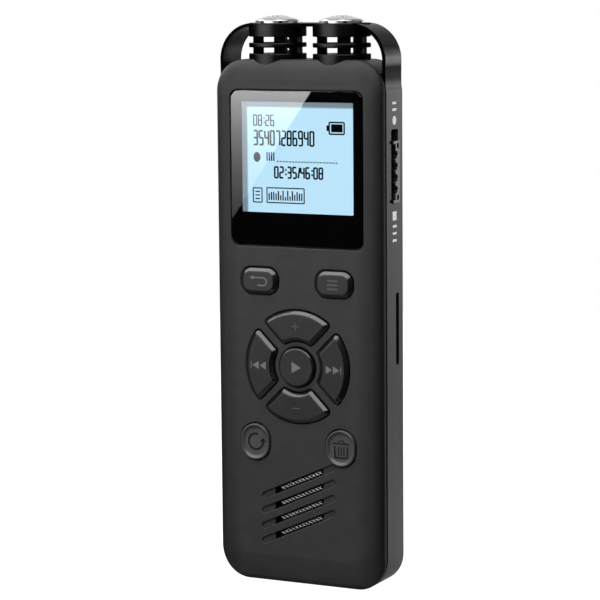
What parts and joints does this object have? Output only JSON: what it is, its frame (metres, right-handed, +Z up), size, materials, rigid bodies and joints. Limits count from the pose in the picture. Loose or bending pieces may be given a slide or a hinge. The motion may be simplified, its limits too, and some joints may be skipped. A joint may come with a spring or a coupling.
{
  "type": "handheld voice recorder",
  "caption": "Slim handheld voice recorder: dark shells in a metal side band, display window, sprung keys, speaker slots, record slide, card slot and domed microphones under an arch.",
  "frame": {"origin": "middle of the base, on the surface that the recorder stands on, halfway through its thickness", "axes": "+Z up towards the microphones, front with the display towards -Y, side with the record switch towards +X"},
  "size_m": [0.0314, 0.0121, 0.097],
  "materials": {
    "shell_plastic": "fine satin moulded",
    "band_metal": "satin dark grey",
    "key_plastic": "satin moulded",
    "black_plastic": "semi gloss",
    "window_gloss": "high gloss with printed mask",
    "lcd_face": "lit pale blue",
    "light_guide": "clear gloss",
    "pale_plastic": "matte",
    "flex_film": "amber film",
    "board_green": "lacquered",
    "chip_black": "matte moulded",
    "steel": "plain",
    "chrome": "polished",
    "capsule_metal": "satin",
    "rubber": "matte",
    "speaker_plastic": "matte",
    "cell_foil": "wrapped foil",
    "lead_cover": "satin"
  },
  "bodies": {
    "housing": {"front_cover": "shell_plastic", "rear_cover": "shell_plastic", "side_frame": "band_metal", "top_cap": "shell_plastic", "case_screws": "steel", "display_window": "window_gloss", "lcd_panel": "lcd_face", "lcd_backlight": "light_guide", "lcd_holder": "pale_plastic", "lcd_ribbon": "flex_film", "main_board": "board_green", "board_chips": "chip_black", "key_switches": "steel", "speaker_mesh": "steel", "speaker_gasket": "rubber", "speaker_frame": "speaker_plastic", "speaker_cone": "speaker_plastic", "speaker_magnet": "steel", "speaker_leads": "lead_cover", "left_mic_cage": "black_plastic", "right_mic_cage": "black_plastic", "left_mic_ring": "black_plastic", "right_mic_ring": "black_plastic", "left_mic_cap": "chrome", "right_mic_cap": "chrome", "left_mic_capsule": "capsule_metal", "right_mic_capsule": "capsule_metal", "left_mic_seal": "rubber", "right_mic_seal": "rubber", "mic_leads": "lead_cover", "switch_housing": "steel", "card_socket": "steel", "usb_socket": "steel", "earphone_socket": "black_plastic", "battery": "cell_foil", "battery_pad": "rubber", "battery_leads": "lead_cover"},
    "return_key": {"return_key": "key_plastic"},
    "menu_key": {"menu_key": "key_plastic"},
    "volume_up_key": {"volume_up_key": "key_plastic"},
    "volume_down_key": {"volume_down_key": "key_plastic"},
    "rewind_key": {"rewind_key": "key_plastic"},
    "forward_key": {"forward_key": "key_plastic"},
    "play_key": {"play_key": "key_plastic"},
    "repeat_key": {"repeat_key": "key_plastic"},
    "delete_key": {"delete_key": "key_plastic"},
    "record_slide": {"record_knob": "black_plastic", "switch_lever": "pale_plastic"}
  },
  "joints": [
    {"name": "return_key_press", "type": "slide", "parent": "housing", "child": "return_key", "axis": [0, 1, 0], "range_m": [0, 0.00035], "stiffness_N_per_m": 500},
    {"name": "menu_key_press", "type": "slide", "parent": "housing", "child": "menu_key", "axis": [0, 1, 0], "range_m": [0, 0.00035], "stiffness_N_per_m": 500},
    {"name": "volume_up_key_press", "type": "slide", "parent": "housing", "child": "volume_up_key", "axis": [0, 1, 0], "range_m": [0, 0.00035], "stiffness_N_per_m": 500},
    {"name": "volume_down_key_press", "type": "slide", "parent": "housing", "child": "volume_down_key", "axis": [0, 1, 0], "range_m": [0, 0.00035], "stiffness_N_per_m": 500},
    {"name": "rewind_key_press", "type": "slide", "parent": "housing", "child": "rewind_key", "axis": [0, 1, 0], "range_m": [0, 0.00035], "stiffness_N_per_m": 500},
    {"name": "forward_key_press", "type": "slide", "parent": "housing", "child": "forward_key", "axis": [0, 1, 0], "range_m": [0, 0.00035], "stiffness_N_per_m": 500},
    {"name": "play_key_press", "type": "slide", "parent": "housing", "child": "play_key", "axis": [0, 1, 0], "range_m": [0, 0.00035], "stiffness_N_per_m": 500},
    {"name": "repeat_key_press", "type": "slide", "parent": "housing", "child": "repeat_key", "axis": [0, 1, 0], "range_m": [0, 0.00035], "stiffness_N_per_m": 500},
    {"name": "delete_key_press", "type": "slide", "parent": "housing", "child": "delete_key", "axis": [0, 1, 0], "range_m": [0, 0.00035], "stiffness_N_per_m": 500},
    {"name": "record_knob_slide", "type": "slide", "parent": "housing", "child": "record_slide", "axis": [0, 0, 1], "range_m": [0, 0.0018]}
  ]
}
